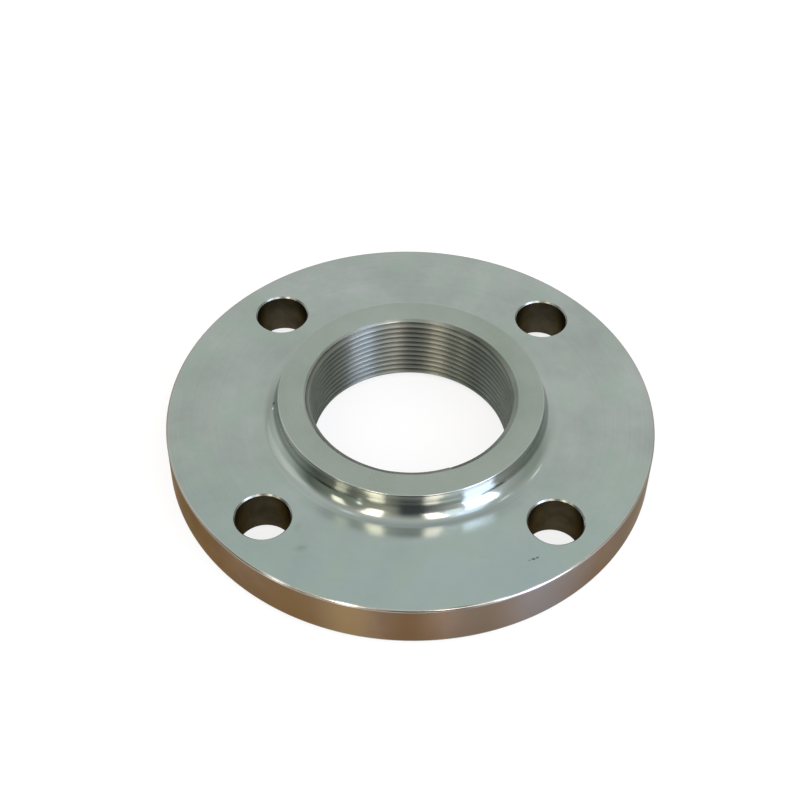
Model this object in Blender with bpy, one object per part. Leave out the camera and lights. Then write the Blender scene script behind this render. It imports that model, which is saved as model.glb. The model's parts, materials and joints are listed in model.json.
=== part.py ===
"""Hubbed pipe flange with a taper-threaded bore, turned from one steel forging.

The flange lies on its gasket face: the origin is the centre of the raised face,
+Z runs along the bore towards the hub, and the four bolt holes straddle X and Y.
The bore is left at the diameter of the thread's crests.
Metres throughout.
"""

import math

import bpy

# Threaded bore, largest at the hub's face
CREST_DIAMETER = 0.0722
THREAD_DEPTH = 0.00148
BORE_TAPER = 1 / 16
MOUTH_CHAMFER_MARGIN = 0.00062
MOUTH_CHAMFER_DEPTH = 0.0013
BASE_CHAMFER = 0.0028

# Hub round the bore
HUB_WALL = 0.0114
HUB_HEIGHT = 0.0096
HUB_FILLET_RADIUS = 0.0063

# Bolt holes: the nut seat is the flat that a washer needs between hole centre and fillet
BOLT_HOLE_DIAMETER = 0.019
BOLT_HOLE_COUNT = 4
FIRST_HOLE_ANGLE = math.radians(45)
NUT_SEAT_RADIUS = 0.0162

# Plate
HOLE_TO_RIM = 0.008
RIM_THICKNESS = 0.017
RIM_EDGE_RADIUS = 0.0008

# Gasket face, on the side away from the hub
RAISED_FACE_HEIGHT = 0.002
RAISED_FACE_TO_HOLE = 0.0025

# Small break on the hub's edge, the raised face's edge and both ends of each hole
EDGE_BREAK = 0.0005

# How finely round stretches are cut into flat facets
TURNED_STEPS = 96
HOLE_STEPS = 40
FILLET_STEPS = 8
EDGE_STEPS = 3

# How far a hole cutter stands out of the plate, and the widest gap that counts as closed
CUTTER_OVERRUN = 0.002
MERGE_DISTANCE = 0.00001

# Radii that follow, from the bore outwards: the bolt circle comes to 140 mm, the plate to 175 mm
MOUTH_CREST_RADIUS = CREST_DIAMETER / 2
HUB_RADIUS = MOUTH_CREST_RADIUS + HUB_WALL
BOLT_CIRCLE_RADIUS = HUB_RADIUS + HUB_FILLET_RADIUS + NUT_SEAT_RADIUS
HOLE_RADIUS = BOLT_HOLE_DIAMETER / 2
OUTER_RADIUS = BOLT_CIRCLE_RADIUS + HOLE_RADIUS + HOLE_TO_RIM
RAISED_FACE_RADIUS = BOLT_CIRCLE_RADIUS - HOLE_RADIUS - RAISED_FACE_TO_HOLE
MOUTH_RADIUS = MOUTH_CREST_RADIUS + THREAD_DEPTH + MOUTH_CHAMFER_MARGIN

# Heights that follow, from the gasket face upwards
PLATE_BACK = RAISED_FACE_HEIGHT
PLATE_FACE = PLATE_BACK + RIM_THICKNESS
HUB_FACE = PLATE_FACE + HUB_HEIGHT
MOUTH_CREST_HEIGHT = HUB_FACE - MOUTH_CHAMFER_DEPTH


def clear_scene():
    for leftover in list(bpy.data.objects):
        bpy.data.objects.remove(leftover, do_unlink=True)


def arc(centre, radius, start_degrees, end_degrees, steps):
    """Points of an arc in the half-section, both ends included."""
    start = math.radians(start_degrees)
    sweep = math.radians(end_degrees - start_degrees)
    points = []
    for step in range(steps + 1):
        angle = start + sweep * step / steps
        points.append((centre[0] + radius * math.cos(angle), centre[1] + radius * math.sin(angle)))
    return points


def bore_radius(height):
    """Radius of the thread's crests: the taper takes 1 mm of diameter off each 16 mm of depth."""
    return MOUTH_CREST_RADIUS - (MOUTH_CREST_HEIGHT - height) * BORE_TAPER / 2


def hub_outline():
    """Hub face's edge, down the hub's wall and round the hollow fillet onto the plate."""
    edge_centre = (HUB_RADIUS - EDGE_BREAK, HUB_FACE - EDGE_BREAK)
    fillet_centre = (HUB_RADIUS + HUB_FILLET_RADIUS, PLATE_FACE + HUB_FILLET_RADIUS)
    edge = arc(edge_centre, EDGE_BREAK, 90, 0, EDGE_STEPS)
    fillet = arc(fillet_centre, HUB_FILLET_RADIUS, 180, 270, FILLET_STEPS)
    return edge + fillet


def rim_outline():
    """Plate's rounded upper edge, its rim and its rounded lower edge."""
    edge_radius = OUTER_RADIUS - RIM_EDGE_RADIUS
    upper = arc((edge_radius, PLATE_FACE - RIM_EDGE_RADIUS), RIM_EDGE_RADIUS, 90, 0, EDGE_STEPS)
    lower = arc((edge_radius, PLATE_BACK + RIM_EDGE_RADIUS), RIM_EDGE_RADIUS, 0, -90, EDGE_STEPS)
    return upper + lower


def raised_face_outline():
    """Step from the plate's back down to the gasket face."""
    return [
        (RAISED_FACE_RADIUS, PLATE_BACK),
        (RAISED_FACE_RADIUS, EDGE_BREAK),
        (RAISED_FACE_RADIUS - EDGE_BREAK, 0),
    ]


def bore_outline():
    """Chamfer at the gasket face, up the tapered bore and out over the mouth's chamfer."""
    base_radius = bore_radius(BASE_CHAMFER)
    return [
        (base_radius + BASE_CHAMFER, 0),
        (base_radius, BASE_CHAMFER),
        (MOUTH_CREST_RADIUS, MOUTH_CREST_HEIGHT),
        (MOUTH_RADIUS, HUB_FACE),
    ]


def hole_cutter_outline():
    """Solid of one bolt hole: it widens at 45 degrees where it leaves each side of the plate."""
    flare = EDGE_BREAK + CUTTER_OVERRUN
    return [
        (0, PLATE_FACE + CUTTER_OVERRUN),
        (HOLE_RADIUS + flare, PLATE_FACE + CUTTER_OVERRUN),
        (HOLE_RADIUS, PLATE_FACE - EDGE_BREAK),
        (HOLE_RADIUS, PLATE_BACK + EDGE_BREAK),
        (HOLE_RADIUS + flare, PLATE_BACK - CUTTER_OVERRUN),
        (0, PLATE_BACK - CUTTER_OVERRUN),
    ]


def turned(name, outline, steps, closed):
    """Object made by turning an outline of (radius, height) points about Z."""
    last = len(outline) - 1
    edges = [(index, index + 1) for index in range(last)]
    if closed:
        edges.append((last, 0))
    mesh = bpy.data.meshes.new(name)
    mesh.from_pydata([(radius, 0, height) for radius, height in outline], edges, [])
    turned_object = bpy.data.objects.new(name, mesh)
    bpy.context.scene.collection.objects.link(turned_object)
    screw = turned_object.modifiers.new("turn", "SCREW")
    screw.axis = "Z"
    screw.angle = math.tau
    screw.steps = steps
    screw.render_steps = steps
    screw.use_merge_vertices = True
    screw.merge_threshold = MERGE_DISTANCE
    return turned_object


def drill_bolt_holes(flange):
    """Cut the ring of bolt holes, all with one cutter shape."""
    first = turned("bolt_hole_cutter_1", hole_cutter_outline(), HOLE_STEPS, closed=False)
    for index in range(BOLT_HOLE_COUNT):
        cutter = first
        if index > 0:
            cutter = first.copy()
            cutter.name = f"bolt_hole_cutter_{index + 1}"
            bpy.context.scene.collection.objects.link(cutter)
        angle = FIRST_HOLE_ANGLE + math.tau * index / BOLT_HOLE_COUNT
        cutter.location = (
            BOLT_CIRCLE_RADIUS * math.cos(angle),
            BOLT_CIRCLE_RADIUS * math.sin(angle),
            0,
        )
        cutter.hide_render = True
        cutter.display_type = "WIRE"
        drill = flange.modifiers.new(f"bolt_hole_{index + 1}", "BOOLEAN")
        drill.operation = "DIFFERENCE"
        drill.solver = "EXACT"
        drill.object = cutter


def bake_modifiers(shape):
    """Keep the shape that the modifiers make as a plain mesh."""
    depsgraph = bpy.context.evaluated_depsgraph_get()
    baked = bpy.data.meshes.new_from_object(shape.evaluated_get(depsgraph))
    shape.modifiers.clear()
    shape.data = baked


def turned_steel():
    """Bright steel with a satin turned finish."""
    material = bpy.data.materials.new("turned_steel")
    material.use_nodes = True
    shader = material.node_tree.nodes["Principled BSDF"]
    shader.inputs["Base Color"].default_value = (0.52, 0.56, 0.53, 1)
    shader.inputs["Metallic"].default_value = 1.0
    shader.inputs["Roughness"].default_value = 0.35
    return material


def make_flange():
    outline = hub_outline() + rim_outline() + raised_face_outline() + bore_outline()
    flange = turned("flange", outline, TURNED_STEPS, closed=True)
    drill_bolt_holes(flange)
    bake_modifiers(flange)
    flange.data.materials.clear()
    flange.data.materials.append(turned_steel())
    flange.data.shade_smooth()
    flange.data.set_sharp_from_angle(angle=math.radians(30))
    return flange


clear_scene()
make_flange()
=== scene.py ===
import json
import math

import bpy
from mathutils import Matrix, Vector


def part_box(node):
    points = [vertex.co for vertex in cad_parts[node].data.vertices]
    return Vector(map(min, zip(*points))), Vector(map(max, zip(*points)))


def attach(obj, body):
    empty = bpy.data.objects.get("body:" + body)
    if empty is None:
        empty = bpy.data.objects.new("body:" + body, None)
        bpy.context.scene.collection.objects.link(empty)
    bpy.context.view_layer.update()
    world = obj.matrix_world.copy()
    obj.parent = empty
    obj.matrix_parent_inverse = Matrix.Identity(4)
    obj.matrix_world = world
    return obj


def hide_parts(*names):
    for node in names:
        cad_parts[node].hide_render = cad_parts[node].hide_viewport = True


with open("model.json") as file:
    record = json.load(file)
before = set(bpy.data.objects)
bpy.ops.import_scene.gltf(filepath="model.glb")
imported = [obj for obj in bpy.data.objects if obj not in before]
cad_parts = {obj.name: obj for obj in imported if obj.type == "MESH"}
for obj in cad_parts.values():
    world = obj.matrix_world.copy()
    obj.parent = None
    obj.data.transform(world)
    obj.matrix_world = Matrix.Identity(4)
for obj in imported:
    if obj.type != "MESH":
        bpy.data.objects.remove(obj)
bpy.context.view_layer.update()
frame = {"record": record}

# %% [markdown]
# # A threaded pipe flange, finish by finish
#
# The real flange is one piece of steel. It is forged roughly to shape, turned in a lathe, drilled
# for four bolts, and then a taper pipe thread is cut in its bore. Each of those steps leaves its own
# finish. So this script makes one mesh, and gives each band of it the finish of the tool that cut it.
#
# Everything is in metres. The loaded model says how big the flange is and where its faces lie. The
# sizes that it doesn't hold are the ones a flange drawing gives, such as the fillet and the thread.

MM = 0.001

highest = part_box("flange")[1]
mounts = {mount["name"]: mount["pos_m"] for mount in frame["record"]["mounts"]}
OUTER_RADIUS = highest.x
HUB_FACE = highest.z
BOLT_CIRCLE_RADIUS = mounts["nut_face"][0]
PLATE_FACE = mounts["nut_face"][2]
print("flange:", round(2 * OUTER_RADIUS / MM, 2), "mm across,", round(HUB_FACE / MM, 2), "mm high")

# %% Sizes from the flange's drawing
HUB_RADIUS = 47.5 * MM
HUB_FILLET_RADIUS = 6.3 * MM
PLATE_BACK = 2 * MM
RAISED_FACE_RADIUS = 58 * MM
RIM_EDGE_RADIUS = 0.8 * MM
EDGE_BREAK = 0.5 * MM
BOLT_HOLE_RADIUS = 9.5 * MM
BOLT_HOLE_COUNT = 4
FIRST_HOLE_ANGLE = math.radians(45)

PITCH = 25.4 * MM / 11
THREAD_DEPTH = 1.48 * MM
TAPER = 1 / 16
MOUTH_CREST_RADIUS = 36.1 * MM
MOUTH_CHAMFER_WIDTH = 2.1 * MM
MOUTH_CHAMFER_DEPTH = 1.3 * MM
BASE_CHAMFER = 2.8 * MM
MOUTH_CREST_HEIGHT = HUB_FACE - MOUTH_CHAMFER_DEPTH
MOUTH_RADIUS = MOUTH_CREST_RADIUS + MOUTH_CHAMFER_WIDTH
BASE_CREST_RADIUS = MOUTH_CREST_RADIUS - (MOUTH_CREST_HEIGHT - BASE_CHAMFER) * TAPER / 2
BASE_RADIUS = BASE_CREST_RADIUS + BASE_CHAMFER
print("thread:", round(PITCH / MM, 3), "mm pitch,", round(HUB_FACE / PITCH, 1), "turns in the bore")

# %% [markdown]
# ## One function for every node
#
# Blender builds both shapes and materials from nodes. Adding a node always takes the same three
# steps: make it, set its options, and fill or link its inputs. One function does all three, so the
# cells below read as a list of nodes.

# %% A helper that adds one node
def add_node(tree, kind, inputs=None, **options):
    """Add a node; each input is a number, a socket, or a node whose first output is linked."""
    node = tree.nodes.new(kind)
    for option, value in options.items():
        setattr(node, option, value)
    for socket, value in (inputs or {}).items():
        if isinstance(value, bpy.types.Node):
            value = value.outputs[0]
        if isinstance(value, bpy.types.NodeSocket):
            tree.links.new(value, node.inputs[socket])
        else:
            node.inputs[socket].default_value = value
    return node


def new_group(name, inputs):
    """Start a geometry group with named inputs and one geometry output."""
    tree = bpy.data.node_groups.new(name, "GeometryNodeTree")
    for input_name, kind in inputs.items():
        tree.interface.new_socket(name=input_name, in_out="INPUT", socket_type="NodeSocket" + kind)
    tree.interface.new_socket(name="Geometry", in_out="OUTPUT", socket_type="NodeSocketGeometry")
    return tree, tree.nodes.new("NodeGroupInput").outputs


print("helpers:", add_node.__name__, "and", new_group.__name__)

# %% [markdown]
# ## The section that the lathe follows
#
# A lathe makes every surface that goes round the axis, so the flange's look is decided by its
# half-section. It could be drawn as one long list of points, but then nobody could tell which point
# belongs to which surface. Here the section is a chain of stretches, and each stretch is named for
# the finish that it gets. The name travels with the faces as a number on the edges.
#
# The section starts at the bore's edge underneath, runs out along the gasket face, up the rim, in
# over the plate and up the hub. Run that way round, the turned faces point outwards.

# %% The finishes, in the order of their numbers
FINISHES = (
    "gasket_face", "plate_back", "edge", "rim", "rim_edge", "plate_face", "shoulder", "hub_face",
    "chamfer", "thread", "drilled", "hole_edge",
)
GROOVE_SPACING = 0.8 * MM
GROOVE_DEPTH = 0.05 * MM
EDGE_STEPS = 8
FILLET_STEPS = 24
print("finishes to make:", len(FINISHES))


# %% Arcs and grooves
def arc(centre, radius, start_degrees, end_degrees, steps):
    """Points of an arc in the half-section, both ends included."""
    points = []
    for step in range(steps + 1):
        angle = math.radians(start_degrees + (end_degrees - start_degrees) * step / steps)
        points.append((centre[0] + radius * math.cos(angle), centre[1] + radius * math.sin(angle)))
    return points


def gasket_grooves():
    """Fine concentric grooves that bite into the gasket, one each 0.8 mm."""
    points = [(BASE_RADIUS, 0)]
    first_groove = BASE_RADIUS + GROOVE_SPACING
    last_groove = RAISED_FACE_RADIUS - EDGE_BREAK - GROOVE_SPACING / 2
    for number in range(int((last_groove - first_groove) / GROOVE_SPACING) + 1):
        radius = first_groove + number * GROOVE_SPACING
        points.append((radius, GROOVE_DEPTH))
        points.append((radius + GROOVE_SPACING / 2, 0))
    points.append((RAISED_FACE_RADIUS - EDGE_BREAK, 0))
    return points


print("points along the gasket face:", len(gasket_grooves()))


# %% The flange's half-section
def flange_section():
    """Stretches of (finish, points) from the bore's lower edge round to its mouth."""
    lower_centre = (OUTER_RADIUS - RIM_EDGE_RADIUS, PLATE_BACK + RIM_EDGE_RADIUS)
    upper_centre = (OUTER_RADIUS - RIM_EDGE_RADIUS, PLATE_FACE - RIM_EDGE_RADIUS)
    fillet_centre = (HUB_RADIUS + HUB_FILLET_RADIUS, PLATE_FACE + HUB_FILLET_RADIUS)
    hub_edge_centre = (HUB_RADIUS - EDGE_BREAK, HUB_FACE - EDGE_BREAK)
    wall_middle = (fillet_centre[1] + hub_edge_centre[1]) / 2
    return [
        ("gasket_face", gasket_grooves()),
        ("edge", [(RAISED_FACE_RADIUS, EDGE_BREAK)]),
        ("plate_back", [(RAISED_FACE_RADIUS, PLATE_BACK)]),
        ("plate_back", [(OUTER_RADIUS - RIM_EDGE_RADIUS, PLATE_BACK)]),
        ("edge", arc(lower_centre, RIM_EDGE_RADIUS, -90, 0, EDGE_STEPS)[1:]),
        ("rim", [(OUTER_RADIUS, PLATE_FACE - RIM_EDGE_RADIUS)]),
        ("rim_edge", arc(upper_centre, RIM_EDGE_RADIUS, 0, 90, EDGE_STEPS)[1:]),
        ("plate_face", [(HUB_RADIUS + HUB_FILLET_RADIUS, PLATE_FACE)]),
        ("shoulder", arc(fillet_centre, HUB_FILLET_RADIUS, 270, 180, FILLET_STEPS)[1:]),
        ("shoulder", [(HUB_RADIUS, wall_middle), (HUB_RADIUS, HUB_FACE - EDGE_BREAK)]),
        ("edge", arc(hub_edge_centre, EDGE_BREAK, 0, 90, EDGE_STEPS)[1:]),
        ("hub_face", [(MOUTH_RADIUS, HUB_FACE)]),
    ]


print("stretches of the section:", len(flange_section()))


# %% The section of the drill
def hole_section():
    """Section of the drill that makes a bolt hole and breaks the hole's two edges at 45 degrees."""
    overrun = 2 * MM
    flare = BOLT_HOLE_RADIUS + EDGE_BREAK + overrun
    return [
        ("hole_edge", [(0, PLATE_BACK - overrun), (flare, PLATE_BACK - overrun)]),
        ("hole_edge", [(BOLT_HOLE_RADIUS, PLATE_BACK + EDGE_BREAK)]),
        ("drilled", [(BOLT_HOLE_RADIUS, PLATE_FACE - EDGE_BREAK)]),
        ("hole_edge", [(flare, PLATE_FACE + overrun), (0, PLATE_FACE + overrun)]),
    ]


print("stretches of the drill's section:", len(hole_section()))


# %% Sections as chains of edges
def section_object(name, stretches):
    """Put a section in the scene as a chain of edges that carry the numbers of their finishes."""
    points = [(radius, 0, height) for _, stretch in stretches for radius, height in stretch]
    numbers = [FINISHES.index(finish) for finish, stretch in stretches for _ in stretch]
    mesh = bpy.data.meshes.new(name)
    mesh.from_pydata(points, [(index, index + 1) for index in range(len(points) - 1)], [])
    mesh.attributes.new("finish", "INT", "EDGE").data.foreach_set("value", numbers[1:])
    section = bpy.data.objects.new(name, mesh)
    bpy.context.scene.collection.objects.link(section)
    print(name, "has", len(points), "points")
    return section


flange_outline = section_object("flange_section", flange_section())
hole_outline = section_object("bolt_hole_section", hole_section())

# %% [markdown]
# ## Turning a section
#
# The Screw modifier could turn the section, but it would lose the finish numbers. This group does
# what the lathe does instead: it takes a grid with one row for each point of the section and one
# column for each step round the axis, and turns each point into its place. Merge by Distance then
# closes the seam where the last column meets the first, and the pole where a section starts at the
# axis.

# %% The group that turns a section
MERGE_DISTANCE = 0.004 * MM

turning, given = new_group("turn a section", {"Section": "Geometry", "Steps": "Int"})
points = add_node(turning, "GeometryNodeAttributeDomainSize", {"Geometry": given["Section"]},
                  component="MESH").outputs["Point Count"]
columns = add_node(turning, "ShaderNodeMath", {0: given["Steps"], 1: 1}, operation="ADD")
grid = add_node(turning, "GeometryNodeMeshGrid", {"Vertices X": columns, "Vertices Y": points})
index = add_node(turning, "GeometryNodeInputIndex")
row = add_node(turning, "ShaderNodeMath", {0: index, 1: points}, operation="MODULO")
ratio = add_node(turning, "ShaderNodeMath", {0: index, 1: points}, operation="DIVIDE")
column = add_node(turning, "ShaderNodeMath", {0: ratio}, operation="FLOOR")
step_angle = add_node(turning, "ShaderNodeMath", {0: math.tau, 1: given["Steps"]}, operation="DIVIDE")
angle = add_node(turning, "ShaderNodeMath", {0: column, 1: step_angle}, operation="MULTIPLY")
position = add_node(turning, "GeometryNodeInputPosition")
section_point = add_node(turning, "GeometryNodeSampleIndex",
                         {"Geometry": given["Section"], "Value": position, "Index": row},
                         data_type="FLOAT_VECTOR")
turned_point = add_node(turning, "ShaderNodeVectorRotate", {"Vector": section_point, "Angle": angle},
                        rotation_type="Z_AXIS")
placed = add_node(turning, "GeometryNodeSetPosition", {"Geometry": grid, "Position": turned_point})
print("nodes that place the points:", len(turning.nodes))

# %% Finish numbers on the turned faces
# The faces between two points of the section get the number of the edge between those points
face_rows = add_node(turning, "ShaderNodeMath", {0: points, 1: 1}, operation="SUBTRACT")
face_row = add_node(turning, "ShaderNodeMath", {0: index, 1: face_rows}, operation="MODULO")
finish = add_node(turning, "GeometryNodeInputNamedAttribute", {"Name": "finish"}, data_type="INT")
edge_finish = add_node(turning, "GeometryNodeSampleIndex",
                       {"Geometry": given["Section"], "Value": finish, "Index": face_row},
                       data_type="INT", domain="EDGE")
named = add_node(turning, "GeometryNodeStoreNamedAttribute",
                 {"Geometry": placed, "Name": "finish", "Value": edge_finish},
                 data_type="INT", domain="FACE")
closed = add_node(turning, "GeometryNodeMergeByDistance", {"Geometry": named, "Distance": MERGE_DISTANCE})
add_node(turning, "NodeGroupOutput", {"Geometry": closed})
print("turning group:", len(turning.nodes), "nodes")

# %% [markdown]
# ## Cutting the taper thread
#
# A pipe thread is one groove that winds round the bore like a spring: 11 turns to the inch, 55
# degrees between its flanks, with rounded crests and roots. The bore narrows by 1 in 16, so that the
# pipe jams tight.
#
# Sweeping a V along a helix would leave loose ends at both faces. A bore is simpler: every point has
# an angle and a height, and the thread only says how far out the wall stands there. The rows of this
# grid climb with the helix, by one pitch in each turn, so every row keeps to one place on the
# thread's flank. Rows that would pass a face are stopped at it, so the wall meets both turned faces.
# They meet point to point only if both have the same steps round the axis, so the thread starts a
# whole number of steps round.

# %% Steps of the grid and inputs of the thread's group
TURNED_STEPS = 240
ROWS_IN_A_PITCH = 16
START_STEP = 71
THREAD_START = START_STEP * math.tau / TURNED_STEPS
THREAD_INPUTS = {
    "Steps": "Int", "Rows in a pitch": "Int", "Pitch": "Float", "Depth": "Float", "Taper": "Float",
    "Bore length": "Float", "Crest radius": "Float", "Mouth radius": "Float", "Mouth slope": "Float",
    "Base radius": "Float", "Start": "Float",
}
threading, given = new_group("cut a taper thread", THREAD_INPUTS)
print("the thread starts", round(math.degrees(THREAD_START), 1), "degrees round from the right")

# %% Rows that climb with the helix
row_spacing = add_node(threading, "ShaderNodeMath", {0: given["Pitch"], 1: given["Rows in a pitch"]},
                       operation="DIVIDE")
climb = add_node(threading, "ShaderNodeMath", {0: given["Bore length"], 1: given["Pitch"]},
                 operation="ADD")
row_ratio = add_node(threading, "ShaderNodeMath", {0: climb, 1: row_spacing}, operation="DIVIDE")
row_count = add_node(threading, "ShaderNodeMath", {0: row_ratio, 1: 2}, operation="ADD")
rows = add_node(threading, "FunctionNodeFloatToInt", {0: row_count}, rounding_mode="CEILING")
columns = add_node(threading, "ShaderNodeMath", {0: given["Steps"], 1: 1}, operation="ADD")
grid = add_node(threading, "GeometryNodeMeshGrid", {"Vertices X": columns, "Vertices Y": rows})
index = add_node(threading, "GeometryNodeInputIndex")
row = add_node(threading, "ShaderNodeMath", {0: index, 1: rows}, operation="MODULO")
ratio = add_node(threading, "ShaderNodeMath", {0: index, 1: rows}, operation="DIVIDE")
column = add_node(threading, "ShaderNodeMath", {0: ratio}, operation="FLOOR")
turn = add_node(threading, "ShaderNodeMath", {0: column, 1: given["Steps"]}, operation="DIVIDE")

# Height: down by one row spacing in each row, up by one pitch in each turn
risen = add_node(threading, "ShaderNodeMath", {0: turn, 1: given["Pitch"], 2: given["Bore length"]},
                 operation="MULTIPLY_ADD")
lowered = add_node(threading, "ShaderNodeMath", {0: row, 1: row_spacing}, operation="MULTIPLY")
free_height = add_node(threading, "ShaderNodeMath", {0: risen, 1: lowered}, operation="SUBTRACT")
height = add_node(threading, "ShaderNodeClamp",
                  {"Value": free_height, "Min": 0, "Max": given["Bore length"]})
print("nodes for angle and height:", len(threading.nodes))

# %% [markdown]
# ## The thread's profile
#
# A sharp V would have a crest like a knife and a root that cracks, so the real thread is cut off and
# rounded at both. The profile starts as a zigzag with the slope of the flanks. A smooth minimum then
# rounds its root and a smooth maximum its crest. It rides on the bore's taper, which is halved here,
# because 1 in 16 is measured on the diameter.

# %% Radius of the thread
# Height of a sharp V of 55 degrees, for a pitch of 1
V_HEIGHT_PER_PITCH = 0.960491
THREAD_ROUNDING = 0.45 * MM

# Ping-pong makes a zigzag from 0 to a half out of the rows, and a quarter less centres it on 0
phase = add_node(threading, "ShaderNodeMath", {0: row, 1: given["Rows in a pitch"]}, operation="DIVIDE")
zigzag = add_node(threading, "ShaderNodeMath", {0: phase, 1: 0.5}, operation="PINGPONG")
centred = add_node(threading, "ShaderNodeMath", {0: zigzag, 1: 0.25}, operation="SUBTRACT")
v_height = add_node(threading, "ShaderNodeMath", {0: given["Pitch"], 1: 2 * V_HEIGHT_PER_PITCH},
                    operation="MULTIPLY")
sharp = add_node(threading, "ShaderNodeMath", {0: centred, 1: v_height}, operation="MULTIPLY")
half_depth = add_node(threading, "ShaderNodeMath", {0: given["Depth"], 1: 0.5}, operation="MULTIPLY")
crest_level = add_node(threading, "ShaderNodeMath", {0: half_depth, 1: -1}, operation="MULTIPLY")
rooted = add_node(threading, "ShaderNodeMath", {0: sharp, 1: half_depth, 2: THREAD_ROUNDING},
                  operation="SMOOTH_MIN")
rounded = add_node(threading, "ShaderNodeMath", {0: rooted, 1: crest_level, 2: THREAD_ROUNDING},
                   operation="SMOOTH_MAX")
below_mouth = add_node(threading, "ShaderNodeMath", {0: given["Bore length"], 1: height},
                       operation="SUBTRACT")
narrowing = add_node(threading, "ShaderNodeMath", {0: given["Taper"], 1: -0.5}, operation="MULTIPLY")
crest_radius = add_node(threading, "ShaderNodeMath",
                        {0: below_mouth, 1: narrowing, 2: given["Crest radius"]},
                        operation="MULTIPLY_ADD")
middle_radius = add_node(threading, "ShaderNodeMath", {0: crest_radius, 1: half_depth}, operation="ADD")
thread_radius = add_node(threading, "ShaderNodeMath", {0: middle_radius, 1: rounded}, operation="ADD")
print("nodes up to the thread's radius:", len(threading.nodes))

# %% [markdown]
# ## Chamfers and a burr
#
# Both ends of the bore are chamfered, so that a pipe finds its way in. A chamfer is a cone, and the
# wall is the wider of thread and cone, so the thread runs out into the chamfer by itself, as it does
# under a tool. Where the thread starts, the real crest is cut down to a thin ragged lip that stands
# into the mouth and then breaks off. The mouth's cone is drawn in there over a tenth of a turn.

# %% Cones at both ends, and the burr
BURR_TURNS = (0.42, 0.515)
BURR_WIDTH = 1.4 * MM
BURR_DROP = 0.25 * MM

mouth_narrowing = add_node(threading, "ShaderNodeMath", {0: below_mouth, 1: given["Mouth slope"]},
                           operation="MULTIPLY")
mouth_cone = add_node(threading, "ShaderNodeMath", {0: given["Mouth radius"], 1: mouth_narrowing},
                      operation="SUBTRACT")
base_cone = add_node(threading, "ShaderNodeMath", {0: given["Base radius"], 1: height},
                     operation="SUBTRACT")

# The lip grows from the first of the burr's turns to the second, and ends there at once
lip_growth = add_node(threading, "ShaderNodeMapRange",
                      {"Value": turn, "From Min": BURR_TURNS[0], "From Max": BURR_TURNS[1]})
not_broken = add_node(threading, "ShaderNodeMath", {0: turn, 1: BURR_TURNS[1]}, operation="LESS_THAN")
lip = add_node(threading, "ShaderNodeMath", {0: lip_growth, 1: not_broken}, operation="MULTIPLY")
lip_drop = add_node(threading, "ShaderNodeMapRange",
                    {"Value": below_mouth, "From Min": 0, "From Max": BURR_DROP, "To Max": BURR_WIDTH})
lip_width = add_node(threading, "ShaderNodeMath", {0: lip, 1: lip_drop}, operation="MULTIPLY")
burred_cone = add_node(threading, "ShaderNodeMath", {0: mouth_cone, 1: lip_width}, operation="SUBTRACT")
cone = add_node(threading, "ShaderNodeMath", {0: burred_cone, 1: base_cone}, operation="MAXIMUM")
radius = add_node(threading, "ShaderNodeMath", {0: thread_radius, 1: cone}, operation="MAXIMUM")
print("nodes up to the bore's radius:", len(threading.nodes))

# %% [markdown]
# ## Winding the grid round the bore
#
# Each point has a radius and a height now, and its column gives it an angle. The faces of the thread
# and of the chamfers get different finish numbers. Which of the two a point lies on follows from its
# index, but a face has an index of its own. So the lead of the cone over the thread is captured on
# the points first, and the faces then take it from their corners.

# %% Winding, numbering and closing the bore
on_section = add_node(threading, "ShaderNodeCombineXYZ", {"X": radius, "Z": height})
angle = add_node(threading, "ShaderNodeMath", {0: turn, 1: math.tau, 2: given["Start"]},
                 operation="MULTIPLY_ADD")
wound = add_node(threading, "ShaderNodeVectorRotate", {"Vector": on_section, "Angle": angle},
                 rotation_type="Z_AXIS")
cone_lead = add_node(threading, "ShaderNodeMath", {0: cone, 1: thread_radius}, operation="SUBTRACT")
kept_lead = add_node(threading, "GeometryNodeCaptureAttribute", {"Geometry": grid})
kept_lead.capture_items.new("FLOAT", "cone lead")
threading.links.new(cone_lead.outputs[0], kept_lead.inputs["cone lead"])
placed = add_node(threading, "GeometryNodeSetPosition",
                  {"Geometry": kept_lead.outputs["Geometry"], "Position": wound})
on_cone = add_node(threading, "ShaderNodeMath", {0: kept_lead.outputs["cone lead"], 1: 0},
                   operation="GREATER_THAN")
chosen = add_node(threading, "GeometryNodeSwitch",
                  {"Switch": on_cone, "False": FINISHES.index("thread"), "True": FINISHES.index("chamfer")},
                  input_type="INT")
named = add_node(threading, "GeometryNodeStoreNamedAttribute",
                 {"Geometry": placed, "Name": "finish", "Value": chosen},
                 data_type="INT", domain="FACE")
closed = add_node(threading, "GeometryNodeMergeByDistance",
                  {"Geometry": named, "Distance": MERGE_DISTANCE})
add_node(threading, "NodeGroupOutput", {"Geometry": closed})
print("threading group:", len(threading.nodes), "nodes")

# %% [markdown]
# ## Colour and surface of turned steel
#
# The flange is plain carbon steel, left bright and lightly oiled. Seen close, turned steel is a
# mirror with thousands of fine grooves. Along a groove it still reflects sharply, and across it the
# reflection smears. That is what anisotropy does: the tangent says which way the grooves run, which
# here is round the axis, and a quarter turn of rotation smears across them.
#
# One function builds the nodes that every turned finish shares. Its tool marks are noise read from
# radius and height only, so that it makes rings on a face and on a wall alike, and its clouds are
# the uneven oil film and handling that keep a real face from looking like plastic. Real feed marks
# are about 0.2 mm apart, which is finer than a pixel here, so they are drawn a little coarser.

# %% Linear colours
def srgb_to_linear(code):
    """Linear colour of an sRGB hex code."""
    channels = [int(code[start:start + 2], 16) / 255 for start in (1, 3, 5)]
    linear = [c / 12.92 if c <= 0.04045 else ((c + 0.055) / 1.055) ** 2.4 for c in channels]
    return (*linear, 1)


print("#808080 is", round(srgb_to_linear("#808080")[0], 2), "in linear light")

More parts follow.
